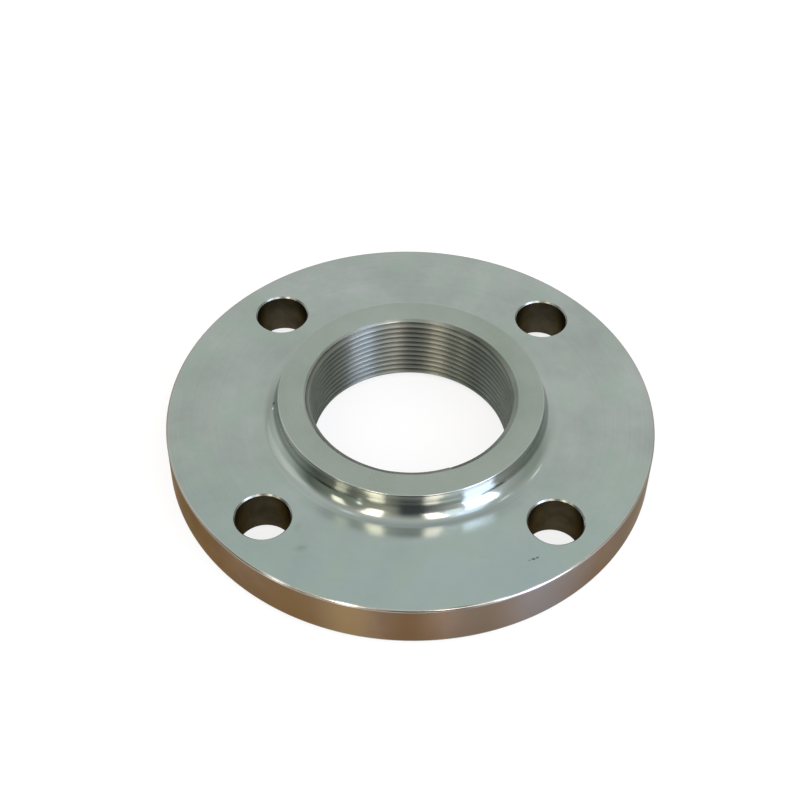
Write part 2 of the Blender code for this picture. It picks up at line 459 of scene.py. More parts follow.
# %% The shared nodes of turned steel
# Noise seldom leaves these ranges, so they are stretched to the full range of what it drives
NOISE_RANGE = {"From Min": 0.3, "From Max": 0.7}
SHADE_RANGE = {"From Min": 0.32, "From Max": 0.68}
RING_SHARE = 0.12
DULLEST, BRIGHTEST = 1.12, 0.9
QUARTER_TURN = 0.25


def turned_finish(name, light, dark, roughness, anisotropy, mark_width, mark_depth, cloud_width=24):
    """Material for one turned finish, its tree, and the sockets that a special finish builds on.

    The widths and the depth of the tool marks are in millimetres.
    """
    material = bpy.data.materials.new(name)
    material.use_nodes = True
    tree = material.node_tree
    shader = tree.nodes["Principled BSDF"]
    shader.inputs["Metallic"].default_value = 1
    shader.inputs["Anisotropic"].default_value = anisotropy
    shader.inputs["Anisotropic Rotation"].default_value = QUARTER_TURN

    place = add_node(tree, "ShaderNodeTexCoord").outputs["Object"]
    across = add_node(tree, "ShaderNodeVectorMath", {0: place, 1: (1, 1, 0)}, operation="MULTIPLY")
    radius = add_node(tree, "ShaderNodeVectorMath", {0: across}, operation="LENGTH").outputs["Value"]
    height = add_node(tree, "ShaderNodeSeparateXYZ", {0: place}).outputs["Z"]
    ring_place = add_node(tree, "ShaderNodeCombineXYZ", {"X": radius, "Z": height})
    rings = add_node(tree, "ShaderNodeTexNoise",
                     {"Vector": ring_place, "Scale": 1 / (mark_width * MM), "Detail": 3}).outputs[0]
    clouds = add_node(tree, "ShaderNodeTexNoise",
                      {"Vector": place, "Scale": 1 / (cloud_width * MM), "Detail": 5,
                       "Roughness": 0.6}).outputs[0]

    ring_share = add_node(tree, "ShaderNodeMapRange",
                          {"Value": rings, **NOISE_RANGE, "To Min": -RING_SHARE, "To Max": RING_SHARE})
    shade = add_node(tree, "ShaderNodeMapRange", {"Value": clouds, **SHADE_RANGE})
    mixed_shade = add_node(tree, "ShaderNodeMath", {0: shade, 1: ring_share}, operation="ADD",
                           use_clamp=True)
    colour = add_node(tree, "ShaderNodeMix",
                      {0: mixed_shade, 6: srgb_to_linear(dark), 7: srgb_to_linear(light)},
                      data_type="RGBA").outputs[2]
    dulled = add_node(tree, "ShaderNodeMapRange",
                      {"Value": clouds, **NOISE_RANGE,
                       "To Min": roughness * DULLEST, "To Max": roughness * BRIGHTEST})
    bump = add_node(tree, "ShaderNodeBump",
                    {"Strength": 1, "Distance": mark_depth * MM, "Height": rings})
    tangent = add_node(tree, "ShaderNodeVectorMath", {0: (0, 0, 1), 1: place}, operation="CROSS_PRODUCT")
    groove_way = add_node(tree, "ShaderNodeVectorMath", {0: tangent}, operation="NORMALIZE")
    tree.links.new(colour, shader.inputs["Base Color"])
    tree.links.new(dulled.outputs[0], shader.inputs["Roughness"])
    tree.links.new(bump.outputs[0], shader.inputs["Normal"])
    tree.links.new(groove_way.outputs[0], shader.inputs["Tangent"])
    return material, tree, {"place": place, "radius": radius, "height": height, "shader": shader}


print("tool marks shift the tone by up to", RING_SHARE, "of the way from dark to light")

# %% [markdown]
# ## The plain turned faces
#
# The plate's face and the hub's end were faced off with a round-nosed tool at a fine feed. That gives
# a satin, slightly greenish grey that reflects a soft picture of the room. The back only had a rough
# cut, so it is dull with coarse rings, and the gasket face shows the thin rings of its grooves. The
# hub's wall and its hollow fillet were polished after turning, so they mirror the lamps. The broken
# edges are narrow, burnished by the file, and glint as lines. The rim's edge is browner and a little
# duller, the holes' edges are blotched where chips stuck, and the mouth's chamfer is a darker satin.
#
# A table holds what differs from one finish to the next, and one line makes them all.

# %% Materials of the turned faces
# Columns: material, light tone, dark tone, roughness, anisotropy, then in millimetres the width and
# the depth of a tool mark, and the width of a cloud where it isn't the usual one
TURNED_FACES = {
    "plate_face": ("faced_steel_plate", "#A5ADA8", "#959D98", 0.20, 0.88, 0.9, 0.0009),
    "hub_face": ("faced_steel_hub_end", "#98A198", "#8E998E", 0.26, 0.8, 0.7, 0.0010),
    "plate_back": ("rough_faced_steel_back", "#939C96", "#7F8882", 0.36, 0.6, 1.2, 0.004),
    "gasket_face": ("grooved_steel_gasket_face", "#A2AAA5", "#969F99", 0.26, 0.5, 0.8, 0.001),
    "shoulder": ("polished_steel_shoulder", "#A1AAA4", "#99A19B", 0.15, 0.75, 0.5, 0.0004),
    "edge": ("burnished_steel_edge", "#A7ADAA", "#989F9B", 0.17, 0.3, 0.5, 0.0004),
    "rim_edge": ("steel_rim_edge_painted_glints", "#B0AEA6", "#A19F97", 0.19, 0.3, 0.5, 0.0004),
    "hole_edge": ("broken_steel_hole_edge", "#92958F", "#757871", 0.26, 0.0, 0.5, 0.0004, 5),
    "chamfer": ("turned_steel_chamfer", "#8C938C", "#7D847D", 0.26, 0.7, 0.4, 0.0008),
}
finishes = {finish_name: turned_finish(*columns) for finish_name, columns in TURNED_FACES.items()}
print("plain turned finishes:", len(finishes))

# %% [markdown]
# ## Patches round the axis
#
# Oil, wear and stains don't cover a whole finish: they lie on a stretch of it. Such a patch could be
# painted on a texture, but a mask made of nodes needs no picture and shows no pixels from close by.
# It is 1 at a centre and falls off smoothly, because oil has no sharp border. On a turned part the
# centre is most often an angle round the axis. The last helper lays a colour over whatever the
# finish has so far, so the order of the calls is the order of the layers.

# %% Masks and paint
def azimuth_of(tree, place):
    """Angle round the axis, 0 at the front and growing to the right."""
    parts = add_node(tree, "ShaderNodeSeparateXYZ", {0: place}).outputs
    front = add_node(tree, "ShaderNodeMath", {0: parts["Y"], 1: -1}, operation="MULTIPLY")
    return add_node(tree, "ShaderNodeMath", {0: parts["X"], 1: front}, operation="ARCTAN2")


def near(tree, value, centre, reach):
    """Mask that is 1 where a value is at its centre and falls smoothly to 0 at its reach."""
    offset = add_node(tree, "ShaderNodeMath", {0: value, 1: centre}, operation="SUBTRACT")
    distance = add_node(tree, "ShaderNodeMath", {0: offset}, operation="ABSOLUTE")
    return add_node(tree, "ShaderNodeMapRange", {"Value": distance, "From Min": reach, "From Max": 0},
                    interpolation_type="SMOOTHSTEP")


def near_angle(tree, azimuth, centre_degrees, reach_degrees):
    """The same mask for an angle round the axis, given in degrees."""
    return near(tree, azimuth, math.radians(centre_degrees), math.radians(reach_degrees))


def paint(finish_name, mask, colour, strength=1):
    """Lay a colour over a finish where a mask says so."""
    _, tree, sockets = finishes[finish_name]
    base_colour = sockets["shader"].inputs["Base Color"]
    share = add_node(tree, "ShaderNodeMath", {0: mask, 1: strength}, operation="MULTIPLY")
    painted = add_node(tree, "ShaderNodeMix",
                       {0: share, 6: base_colour.links[0].from_socket, 7: srgb_to_linear(colour)},
                       data_type="RGBA").outputs[2]
    tree.links.new(painted, base_colour)


print("helpers:", azimuth_of.__name__, near.__name__, near_angle.__name__, paint.__name__)

# %% [markdown]
# ## The rim, with a painted brown reflection
#
# The rim's steel is given warm brown tones that stand in for a brown surface it mirrors: a painted
# reflection, not a colour of the steel. Right of the front and on the right side it fades to grey,
# with blotches of noise in the grey. At the front lie four smaller patches of the painted
# reflection: a darker brown on the left, a greyer brown on the right, a golden brown just left of the
# middle and the darkest brown in the middle. At a glancing angle a metal has a second tint of its own,
# and that is set warm too, so that the painted brown reflection stays brown there.

# %% Material of the rim
# Warm glancing tint, so that the painted brown reflection stays brown at a glancing angle
RIM_GLANCING_TINT = "#B8A68C"
RIM_GREY = "#868486"
BLOTCH_WIDTH = 38 * MM
BLOTCH_RANGE = {"From Min": 0.35, "From Max": 0.65, "To Min": 0.5, "To Max": 1.1}

# Centre and reach in degrees
GREY_FRONT = (31, 26)
GREY_SIDE = (82, 60)

# Colour, centre and reach, in the order in which the patches are laid on
# Patches of the painted brown reflection
RIM_REFLECTION_PATCHES = {
    "darker_reflection_left": ("#7F684D", -25, 15), "greyer_reflection_right": ("#7B6D60", 16, 12),
    "golden_reflection": ("#957E5E", -13, 9), "darkest_reflection_front": ("#775F48", 0, 10),
}

# The rim's brown tones are a painted reflection of a brown surface, not a colour of the steel
finishes["rim"] = turned_finish("steel_rim_painted_brown_reflection", "#947E6C", "#796655", 0.34, 0.6, 0.8, 0.0015, 30)
_, rim_tree, rim = finishes["rim"]
rim["shader"].inputs["Specular Tint"].default_value = srgb_to_linear(RIM_GLANCING_TINT)
round_rim = azimuth_of(rim_tree, rim["place"])
greyest = add_node(rim_tree, "ShaderNodeMath",
                     {0: near_angle(rim_tree, round_rim, *GREY_FRONT),
                      1: near_angle(rim_tree, round_rim, *GREY_SIDE)}, operation="MAXIMUM")
blotch = add_node(rim_tree, "ShaderNodeTexNoise",
                  {"Vector": rim["place"], "Scale": 1 / BLOTCH_WIDTH, "Detail": 2}).outputs[0]
blotch_share = add_node(rim_tree, "ShaderNodeMapRange", {"Value": blotch, **BLOTCH_RANGE})
grey_share = add_node(rim_tree, "ShaderNodeMath", {0: greyest, 1: blotch_share}, operation="MULTIPLY",
                use_clamp=True)
# Grey where less of the painted brown reflection is laid on, with blotches of noise
paint("rim", grey_share, RIM_GREY)
# Painted patches of the brown reflection round the front
for colour, centre, reach in RIM_REFLECTION_PATCHES.values():
    paint("rim", near_angle(rim_tree, round_rim, centre, reach), colour)
print("patches on the rim:", ", ".join(RIM_REFLECTION_PATCHES))

# %% [markdown]
# ## Drilled holes and thread
#
# A drill leaves a rougher wall than a lathe. The walls of the holes get a dark brown, which is painted
# shade of the hole and a painted reflection of a brown surface. In the bore the roots of the thread
# are darkened as painted shade. A crest and a root differ only in how far they lie from the axis, so
# the material works out the crest's radius at each height, just as the shape does, and darkens with
# the distance below it.

# %% Material of the holes
# Brown glancing tint, part of the painted brown reflection on the walls
DRILLED_GLANCING_TINT = "#A09880"

# The dark brown is painted shade of the hole and a painted reflection of a brown surface
finishes["drilled"] = turned_finish("drilled_steel_hole_painted_shade_and_reflection", "#4E483A", "#3C372C", 0.44, 0.0, 0.6, 0.01, 9)
drilled_shader = finishes["drilled"][2]["shader"]
drilled_shader.inputs["Specular Tint"].default_value = srgb_to_linear(DRILLED_GLANCING_TINT)
print("material of the holes:", finishes["drilled"][0].name)

# %% Material of the thread
# Painted shade in the thread's roots, darker the further below the crest
ROOT_SHADE = "#68675D"
ROOT_SHADE_TOP = 0.25 * THREAD_DEPTH

finishes["thread"] = turned_finish("tapped_steel_thread", "#888E86", "#797F77", 0.42, 0.95, 0.5, 0.001)
_, thread_tree, thread = finishes["thread"]
below_mouth = add_node(thread_tree, "ShaderNodeMath", {0: HUB_FACE, 1: thread["height"]},
                       operation="SUBTRACT")
crest_here = add_node(thread_tree, "ShaderNodeMath",
                      {0: below_mouth, 1: -TAPER / 2, 2: MOUTH_CREST_RADIUS}, operation="MULTIPLY_ADD")
below_crest = add_node(thread_tree, "ShaderNodeMath", {0: thread["radius"], 1: crest_here},
                       operation="SUBTRACT")
root_shade = add_node(thread_tree, "ShaderNodeMapRange",
                 {"Value": below_crest, "From Min": ROOT_SHADE_TOP, "From Max": THREAD_DEPTH})
paint("thread", root_shade, ROOT_SHADE)
print("finishes:", ", ".join(finishes))

# %% [markdown]
# ## A painted brighter reflection on the hub's wall
#
# The hub's upright wall is painted lighter than the hollow fillet below it, which is a painted
# reflection. A material of its own would end in a sharp line, and the brighter band fades out. So the
# wall is painted by height, over the upper part of the fillet.

# %% Bright wall
# Painted reflection: the upright wall is lighter than the fillet
WALL_PAINTED_REFLECTION = "#CDC9C2"
BRIGHT_WALL_START = PLATE_FACE + 3.6 * MM
BRIGHT_WALL_FULL = PLATE_FACE + 5.8 * MM

_, shoulder_tree, shoulder = finishes["shoulder"]
on_wall = add_node(shoulder_tree, "ShaderNodeMapRange",
                   {"Value": shoulder["height"], "From Min": BRIGHT_WALL_START, "From Max": BRIGHT_WALL_FULL})
paint("shoulder", on_wall, WALL_PAINTED_REFLECTION)
print("the polish fades over", round((BRIGHT_WALL_FULL - BRIGHT_WALL_START) / MM, 1), "mm")

# %% [markdown]
# ## The film of oil on the plate
# ## A painted reflection and patches on the plate
#
# The plate isn't one even grey. Towards the front it is painted a cooler grey, which is a painted
# reflection, and faint greenish patches about a centimetre wide lie all over it. The first is a slow
# change along Y. The second is noise of which only the upper part counts, so that the patches stand
# apart.

# %% Cool front and greenish patches
# Painted reflection: cooler towards the front
COOL_FRONT_REFLECTION = "#93A6A3"
COOL_START, COOL_FULL = -15 * MM, -75 * MM
COOL_STRENGTH = 0.65
GREEN_PATCH = "#96A99C"
PATCH_WIDTH = 11 * MM
PATCH_RANGE = {"From Min": 0.45, "From Max": 0.65}
PATCH_STRENGTH = 0.5

_, plate_tree, plate = finishes["plate_face"]
plate_y = add_node(plate_tree, "ShaderNodeSeparateXYZ", {0: plate["place"]}).outputs["Y"]
in_front = add_node(plate_tree, "ShaderNodeMapRange",
                    {"Value": plate_y, "From Min": COOL_START, "From Max": COOL_FULL})
paint("plate_face", in_front, COOL_FRONT_REFLECTION, COOL_STRENGTH)
patches = add_node(plate_tree, "ShaderNodeTexNoise",
                   {"Vector": plate["place"], "Scale": 1 / PATCH_WIDTH, "Detail": 3}).outputs[0]
on_patch = add_node(plate_tree, "ShaderNodeMapRange", {"Value": patches, **PATCH_RANGE})
paint("plate_face", on_patch, GREEN_PATCH, PATCH_STRENGTH)
print("greenish patches:", round(PATCH_WIDTH / MM), "mm wide")

# %% [markdown]
# ## Painted shade at the foot of the hub
#
# Where the fillet meets the plate a dark ring is painted, most of it at the front: painted shade in
# the corner and a painted reflection of the hub's dark side in the plate. The ring lies over the seam
# between two finishes, so both get the same paint.

# %% Painted shade on both sides of the seam
# Painted shade in the corner and a painted dark reflection of the hub
FOOT_SHADE = "#617377"
FOOT_SHADE_RADIUS = HUB_RADIUS + HUB_FILLET_RADIUS - 1.0 * MM
FOOT_SHADE_REACH = 2.4 * MM
FOOT_SHADE_FRONT = (10, 66)
FOOT_SHADE_STRENGTH = 0.5

for finish_name in ("plate_face", "shoulder"):
    _, tree, sockets = finishes[finish_name]
    ring = near(tree, sockets["radius"], FOOT_SHADE_RADIUS, FOOT_SHADE_REACH)
    round_foot = near_angle(tree, azimuth_of(tree, sockets["place"]), *FOOT_SHADE_FRONT)
    foot_shade = add_node(tree, "ShaderNodeMath", {0: ring, 1: round_foot}, operation="MULTIPLY")
    paint(finish_name, foot_shade, FOOT_SHADE, FOOT_SHADE_STRENGTH)
print("grime at a radius of", round(FOOT_SHADE_RADIUS / MM, 1), "mm")

# %% [markdown]
# ## A shallow dish beside the fillet
#
# The facing tool ran out beside the fillet, so at the front the plate is very slightly dished there.
# The eye sees so slight a slope only in what the plate mirrors, so a bump is enough for it, and the
# mesh stays flat. With a Distance of 1 the bump's Height is in metres. It feeds the bump of the tool
# marks, because a shader takes one normal only.

# %% Dish in the plate
DISH_DEPTH = 0.33 * MM
DISH_RADII = (HUB_RADIUS + HUB_FILLET_RADIUS, 59 * MM)
DISH_FRONT = (0, 100)

rise = add_node(plate_tree, "ShaderNodeMapRange",
                {"Value": plate["radius"], "From Min": DISH_RADII[0], "From Max": DISH_RADII[1],
                 "To Max": DISH_DEPTH}, interpolation_type="SMOOTHSTEP")
at_front = near_angle(plate_tree, azimuth_of(plate_tree, plate["place"]), *DISH_FRONT)
dish = add_node(plate_tree, "ShaderNodeMath", {0: rise, 1: at_front}, operation="MULTIPLY")
dished = add_node(plate_tree, "ShaderNodeBump", {"Strength": 1, "Distance": 1, "Height": dish})
marks_bump = plate["shader"].inputs["Normal"].links[0].from_node
plate_tree.links.new(dished.outputs[0], marks_bump.inputs["Normal"])
print("dish:", round((DISH_RADII[1] - DISH_RADII[0]) / MM, 1), "mm wide")

# %% [markdown]
# ## The rim's edge and the mouth
# ## Painted glints on the rim's edge, and painted shade at the mouth
#
# Along the rim's upper edge glints are painted on in some places and one place is painted darker,
# which breaks up the glint that runs along it. The mouth's chamfer is painted darker on one side, as
# painted shade that dims a lamp's reflection there. Both are patches round the axis again.

# %% Painted glints on the edge and painted shade at the mouth
EDGE_GLANCING_TINT = "#8C8A84"
# Painted shade on one side of the chamfer, dimming a lamp's reflection there
MOUTH_PAINTED_SHADE = "#565A50"
MOUTH_SHADE_SIDE = (135, 50)
MOUTH_SHADE_STRENGTH = 0.9

# Centre and reach in degrees, and colour
# Painted glints, pale and lilac, and at 11.5 degrees a painted darker spot that dims a glint
PAINTED_EDGE_GLINTS = (
    (-30, 4.5, "#E0DEDA"), (-13.5, 4, "#F0EEE8"), (11.5, 5, "#7C7A76"), (20, 3, "#C8C6C4"),
    (28, 4, "#C4B8C8"),
)

_, edge_tree, rim_edge = finishes["rim_edge"]
rim_edge["shader"].inputs["Specular Tint"].default_value = srgb_to_linear(EDGE_GLANCING_TINT)
round_edge = azimuth_of(edge_tree, rim_edge["place"])
for centre, reach, colour in PAINTED_EDGE_GLINTS:
    paint("rim_edge", near_angle(edge_tree, round_edge, centre, reach), colour)

_, chamfer_tree, chamfer = finishes["chamfer"]
round_mouth = azimuth_of(chamfer_tree, chamfer["place"])
shaded_side = near_angle(chamfer_tree, round_mouth, *MOUTH_SHADE_SIDE)
paint("chamfer", shaded_side, MOUTH_PAINTED_SHADE, MOUTH_SHADE_STRENGTH)
print("patches on the rim's edge:", len(PAINTED_EDGE_GLINTS))

# %% [markdown]
# ## Small marks of use, and a painted glint
#
# Near one bolt hole the plate has a short black scratch, and near another two faint smudges. The foot
# of the hub and the mouth of the bore have small nicks, and beside the nick at the foot lies a small
# painted glint. A mark could be a separate thin piece, but nothing lies on the real faces there. A
# Mapping node of the Texture kind turns the mark's place, direction and size into a unit circle, and
# a little noise makes its edge ragged.

# %% A ragged mark
# The noise adds 0.4 to the distance on average, which puts the mark's edge on the unit circle
RAGGED_SCALE = 1.7
RAGGED_AMOUNT = 0.8
MARK_EDGE = 1.4


def add_mark(finish_name, x, y, turn_degrees, half_length, half_width, softness):
    """Mask that is 1 on a small ragged mark, seen from above, with its sizes in millimetres."""
    _, tree, sockets = finishes[finish_name]
    local = add_node(tree, "ShaderNodeMapping",
                     {"Vector": sockets["place"], "Location": (x * MM, y * MM, PLATE_FACE),
                      "Rotation": (0, 0, math.radians(turn_degrees)),
                      "Scale": (half_length * MM, half_width * MM, 1)}, vector_type="TEXTURE")
    distance = add_node(tree, "ShaderNodeVectorMath", {0: local}, operation="LENGTH").outputs["Value"]
    ragged = add_node(tree, "ShaderNodeTexNoise",
                      {"Vector": local, "Scale": RAGGED_SCALE, "Detail": 2}).outputs[0]
    edge = add_node(tree, "ShaderNodeMath", {0: ragged, 1: RAGGED_AMOUNT, 2: distance},
                    operation="MULTIPLY_ADD")
    return add_node(tree, "ShaderNodeMapRange",
                    {"Value": edge, "From Min": MARK_EDGE, "From Max": MARK_EDGE - softness})


print("a mark's edge wanders over", RAGGED_AMOUNT, "of its size")

# %% Scratch, smudges, nicks and a painted glint
# Columns: finish, x and y in mm, turn in degrees, half length and half width in mm, softness, colour
SMALL_MARKS_AND_GLINT = (
    ("plate_face", 39.7, -66.1, 20, 0.6, 0.40, 0.6, "#78857F"),
    ("plate_face", 41.1, -65.5, 0, 0.9, 0.50, 0.6, "#4A5450"),
    ("plate_face", 42.4, -64.9, 25, 0.8, 0.45, 0.6, "#57625D"),
    ("plate_face", -35.8, -62.6, 10, 3.2, 2.0, 0.9, "#8A9690"),
    ("plate_face", -37.4, -53.7, 70, 2.8, 1.6, 0.9, "#939F99"),
    # A painted glint on the fillet's foot, beside the nick on the next line
    ("shoulder", -49.4, -1.4, 90, 0.7, 0.45, 0.5, "#E4E8E4"),
    ("shoulder", -49.3, 1.0, 90, 0.8, 0.5, 0.5, "#3E423C"),
    ("chamfer", 19.3, 31.0, -32, 0.9, 0.45, 0.6, "#33372F"),
)
for finish_name, *mark_sizes, colour in SMALL_MARKS_AND_GLINT:
    paint(finish_name, add_mark(finish_name, *mark_sizes), colour)
print("small marks:", len(SMALL_MARKS_AND_GLINT))

# %% [markdown]
# ## The whole flange
#
# The last tree puts the pieces of work together in the order of the workshop: turn, thread, drill.
# The drill is one turned section, placed on the four points of the bolt circle, and a Boolean takes
# it away. The Boolean leaves doubled points along its cuts, so they are merged, and the mesh is one
# closed body again. Flat faces are shaded flat, so that the cut round each hole leaves no smudge in
# the shading. At the end one Set Material for each finish picks the faces with that number.

# %% Shell and bore, welded
making, given = new_group("make the flange", {
    "Section": "Geometry", **THREAD_INPUTS, "Hole section": "Object", "Steps round a hole": "Int",
    "Bolt circle radius": "Float", "Bolt holes": "Int", "First hole angle": "Float",
})
shell = add_node(making, "GeometryNodeGroup", node_tree=turning)
making.links.new(given["Section"], shell.inputs["Section"])
making.links.new(given["Steps"], shell.inputs["Steps"])
bore = add_node(making, "GeometryNodeGroup", node_tree=threading)
for socket in bore.inputs:
    making.links.new(given[socket.name], socket)
turned = add_node(making, "GeometryNodeJoinGeometry")
making.links.new(shell.outputs[0], turned.inputs[0])
making.links.new(bore.outputs[0], turned.inputs[0])
welded = add_node(making, "GeometryNodeMergeByDistance", {"Geometry": turned, "Distance": MERGE_DISTANCE})
print("nodes up to the welded flange:", len(making.nodes))

# %% Drilling the bolt holes
drill_section = add_node(making, "GeometryNodeObjectInfo", {"Object": given["Hole section"]})
drill = add_node(making, "GeometryNodeGroup", node_tree=turning)
making.links.new(drill_section.outputs["Geometry"], drill.inputs["Section"])
making.links.new(given["Steps round a hole"], drill.inputs["Steps"])
circle = add_node(making, "GeometryNodeMeshCircle",
                  {"Vertices": given["Bolt holes"], "Radius": given["Bolt circle radius"]})
circle_turn = add_node(making, "ShaderNodeCombineXYZ", {"Z": given["First hole angle"]})
bolt_circle = add_node(making, "GeometryNodeTransform", {"Geometry": circle, "Rotation": circle_turn})
drills = add_node(making, "GeometryNodeInstanceOnPoints", {"Points": bolt_circle, "Instance": drill})
drills = add_node(making, "GeometryNodeRealizeInstances", {"Geometry": drills})
drilled = add_node(making, "GeometryNodeMeshBoolean", {"Mesh 1": welded, "Mesh 2": drills},
                   operation="DIFFERENCE", solver="EXACT")
clean = add_node(making, "GeometryNodeMergeByDistance", {"Geometry": drilled, "Distance": MERGE_DISTANCE})
print("nodes up to the drilled flange:", len(making.nodes))

# %% Shading and materials
# A face counts as flat if its normal stands straight up or down
FLAT = 0.9999

normal = add_node(making, "GeometryNodeInputNormal")
normal_parts = add_node(making, "ShaderNodeSeparateXYZ", {0: normal})
uprightness = add_node(making, "ShaderNodeMath", {0: normal_parts.outputs["Z"]}, operation="ABSOLUTE")
curved = add_node(making, "ShaderNodeMath", {0: uprightness, 1: FLAT}, operation="LESS_THAN")
shaded = add_node(making, "GeometryNodeSetShadeSmooth", {"Geometry": clean, "Shade Smooth": curved})
finished = add_node(making, "GeometryNodeRealizeInstances", {"Geometry": shaded})
number = add_node(making, "GeometryNodeInputNamedAttribute", {"Name": "finish"}, data_type="INT")
for finish_number, finish_name in enumerate(FINISHES):
    chosen = add_node(making, "FunctionNodeCompare", {2: number, 3: finish_number},
                      data_type="INT", operation="EQUAL")
    finished = add_node(making, "GeometryNodeSetMaterial",
                        {"Geometry": finished, "Selection": chosen, "Material": finishes[finish_name][0]})
add_node(making, "NodeGroupOutput", {"Geometry": finished})
print("making group:", len(making.nodes), "nodes")

# %% [markdown]
# ## Making it, once
#
# The tree's sizes are set on the modifier before Blender evaluates it the first time. The result is
# then taken as a plain mesh, and the modifier and the two sections go, because a finished piece
# should need nothing but itself. The crest's radius is given where the crest would meet the hub's
# face, which is a little above the foot of the chamfer, so the taper adds a little to it.

# %% Sizes for the making group
HOLE_STEPS = 72

tree_sizes = {
    "Hole section": hole_outline, "Steps": TURNED_STEPS, "Steps round a hole": HOLE_STEPS,
    "Rows in a pitch": ROWS_IN_A_PITCH, "Pitch": PITCH, "Depth": THREAD_DEPTH, "Taper": TAPER,
    "Bore length": HUB_FACE, "Crest radius": MOUTH_CREST_RADIUS + MOUTH_CHAMFER_DEPTH * TAPER / 2,
    "Mouth radius": MOUTH_RADIUS, "Mouth slope": MOUTH_CHAMFER_WIDTH / MOUTH_CHAMFER_DEPTH,
    "Base radius": BASE_RADIUS, "Start": THREAD_START, "Bolt circle radius": BOLT_CIRCLE_RADIUS,
    "Bolt holes": BOLT_HOLE_COUNT, "First hole angle": FIRST_HOLE_ANGLE,
}
modifier = flange_outline.modifiers.new("make the flange", "NODES")
modifier.node_group = making
for socket in making.interface.items_tree:
    if socket.name in tree_sizes:
        modifier[socket.identifier] = tree_sizes[socket.name]
print("sizes set on the modifier:", len(tree_sizes))

# %% The finished flange
SHARP_ANGLE = math.radians(40)

depsgraph = bpy.context.evaluated_depsgraph_get()
flange_mesh = bpy.data.meshes.new_from_object(flange_outline.evaluated_get(depsgraph))
flange_mesh.name = "threaded_flange"
flange_mesh.set_sharp_from_angle(angle=SHARP_ANGLE)
flange = bpy.data.objects.new("threaded_flange", flange_mesh)
bpy.context.scene.collection.objects.link(flange)
for section in (flange_outline, hole_outline):
    bpy.data.objects.remove(section, do_unlink=True)
triangles = sum(len(face.vertices) - 2 for face in flange_mesh.polygons)
print("flange mesh:", len(flange_mesh.vertices), "points,", triangles, "triangles")

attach(flange, "root")
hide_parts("flange")

# %% [markdown]
# ## Floor and surroundings
#
# Metal has no colour of its own to speak of: it shows what is around it. The floor and the world are
# white, so the plain faces show their own tone. The floor gives most of its white as light that only
# the camera, mirrors and glass see, and the rest comes from the lamps, so that the flange still
# casts a faint shadow.

# %% White floor
FLOOR_SIZE = 12
FLOOR_GLOW = 0.80
FLOOR_COLOUR = "#7A7A79"

floor_mesh = bpy.data.meshes.new("floor")
half = FLOOR_SIZE / 2
floor_mesh.from_pydata([(-half, -half, 0), (half, -half, 0), (half, half, 0), (-half, half, 0)], [],
                       [(0, 1, 2, 3)])
floor = bpy.data.objects.new("floor", floor_mesh)
bpy.context.scene.collection.objects.link(floor)
floor_paint = bpy.data.materials.new("white_paper_floor")
floor_paint.use_nodes = True
tree = floor_paint.node_tree
tree.nodes.remove(tree.nodes["Principled BSDF"])
path = add_node(tree, "ShaderNodeLightPath")
seen = add_node(tree, "ShaderNodeMath",
                {0: path.outputs["Is Camera Ray"], 1: path.outputs["Is Glossy Ray"]}, operation="MAXIMUM")
seen = add_node(tree, "ShaderNodeMath", {0: seen, 1: path.outputs["Is Transmission Ray"]},
                operation="MAXIMUM")
glow = add_node(tree, "ShaderNodeMath", {0: seen, 1: FLOOR_GLOW}, operation="MULTIPLY")
paper = add_node(tree, "ShaderNodeBsdfDiffuse", {"Color": srgb_to_linear(FLOOR_COLOUR)})
light = add_node(tree, "ShaderNodeEmission", {"Strength": glow})
both = add_node(tree, "ShaderNodeAddShader", {0: paper, 1: light})
tree.links.new(both.outputs[0], tree.nodes["Material Output"].inputs["Surface"])
floor_mesh.materials.append(floor_paint)
print("floor:", FLOOR_SIZE, "m square")

# %% White world
world = bpy.data.worlds.new("white_surroundings")
bpy.context.scene.world = world
world.use_nodes = True
world.node_tree.nodes["Background"].inputs["Color"].default_value = (1, 1, 1, 1)
world.node_tree.nodes["Background"].inputs["Strength"].default_value = 1
print("world:", world.name)

# %% [markdown]
# ## The dim side of the room
#
# In pure white surroundings a polished curve looks like paper. A photographer of shiny things
# stands dark cards beside them, so that the curve gets dark bands to set off the bright ones. Here
# a round screen stands about the flange, and only reflections show it. Its tone changes round the
# room: grey on the left, a dark grey strip in the middle of the camera's side, and pale elsewhere. A
# picture of a room would do the same, but a few tones are enough. The screen fades to white towards
# the ceiling.

# %% Shape of the screen
SCREEN_RADIUS = 3.0
SCREEN_TOP = 8.5
SCREEN_FOOT_RADIUS = 0.15
SCREEN_LIFT = 1 * MM
SCREEN_STEPS = 120


def towards(azimuth_degrees, distance, height):
    """Point at a distance from the axis: azimuth 0 is the camera's side, and grows to its right."""
    azimuth = math.radians(azimuth_degrees)
    return (distance * math.sin(azimuth), -distance * math.cos(azimuth), height)


# Each step has three points: by the flange, at the foot of the wall and at its top
SCREEN_LEVELS = (
    (SCREEN_FOOT_RADIUS, SCREEN_LIFT), (SCREEN_RADIUS, SCREEN_LIFT), (SCREEN_RADIUS, SCREEN_TOP),
)
screen_points = []
for step in range(SCREEN_STEPS):
    for distance, height in SCREEN_LEVELS:
        screen_points.append(towards(360 * step / SCREEN_STEPS, distance, height))
screen_faces = []
for step in range(SCREEN_STEPS):
    this = len(SCREEN_LEVELS) * step
    following = len(SCREEN_LEVELS) * ((step + 1) % SCREEN_STEPS)
    for level in (0, 1):
        screen_faces.append((this + level, following + level, following + level + 1, this + level + 1))
screen_mesh = bpy.data.meshes.new("dim_screen")
screen_mesh.from_pydata(screen_points, [], screen_faces)
screen = bpy.data.objects.new("dim_screen", screen_mesh)
bpy.context.scene.collection.objects.link(screen)
print("dim screen:", len(screen_faces), "strips")

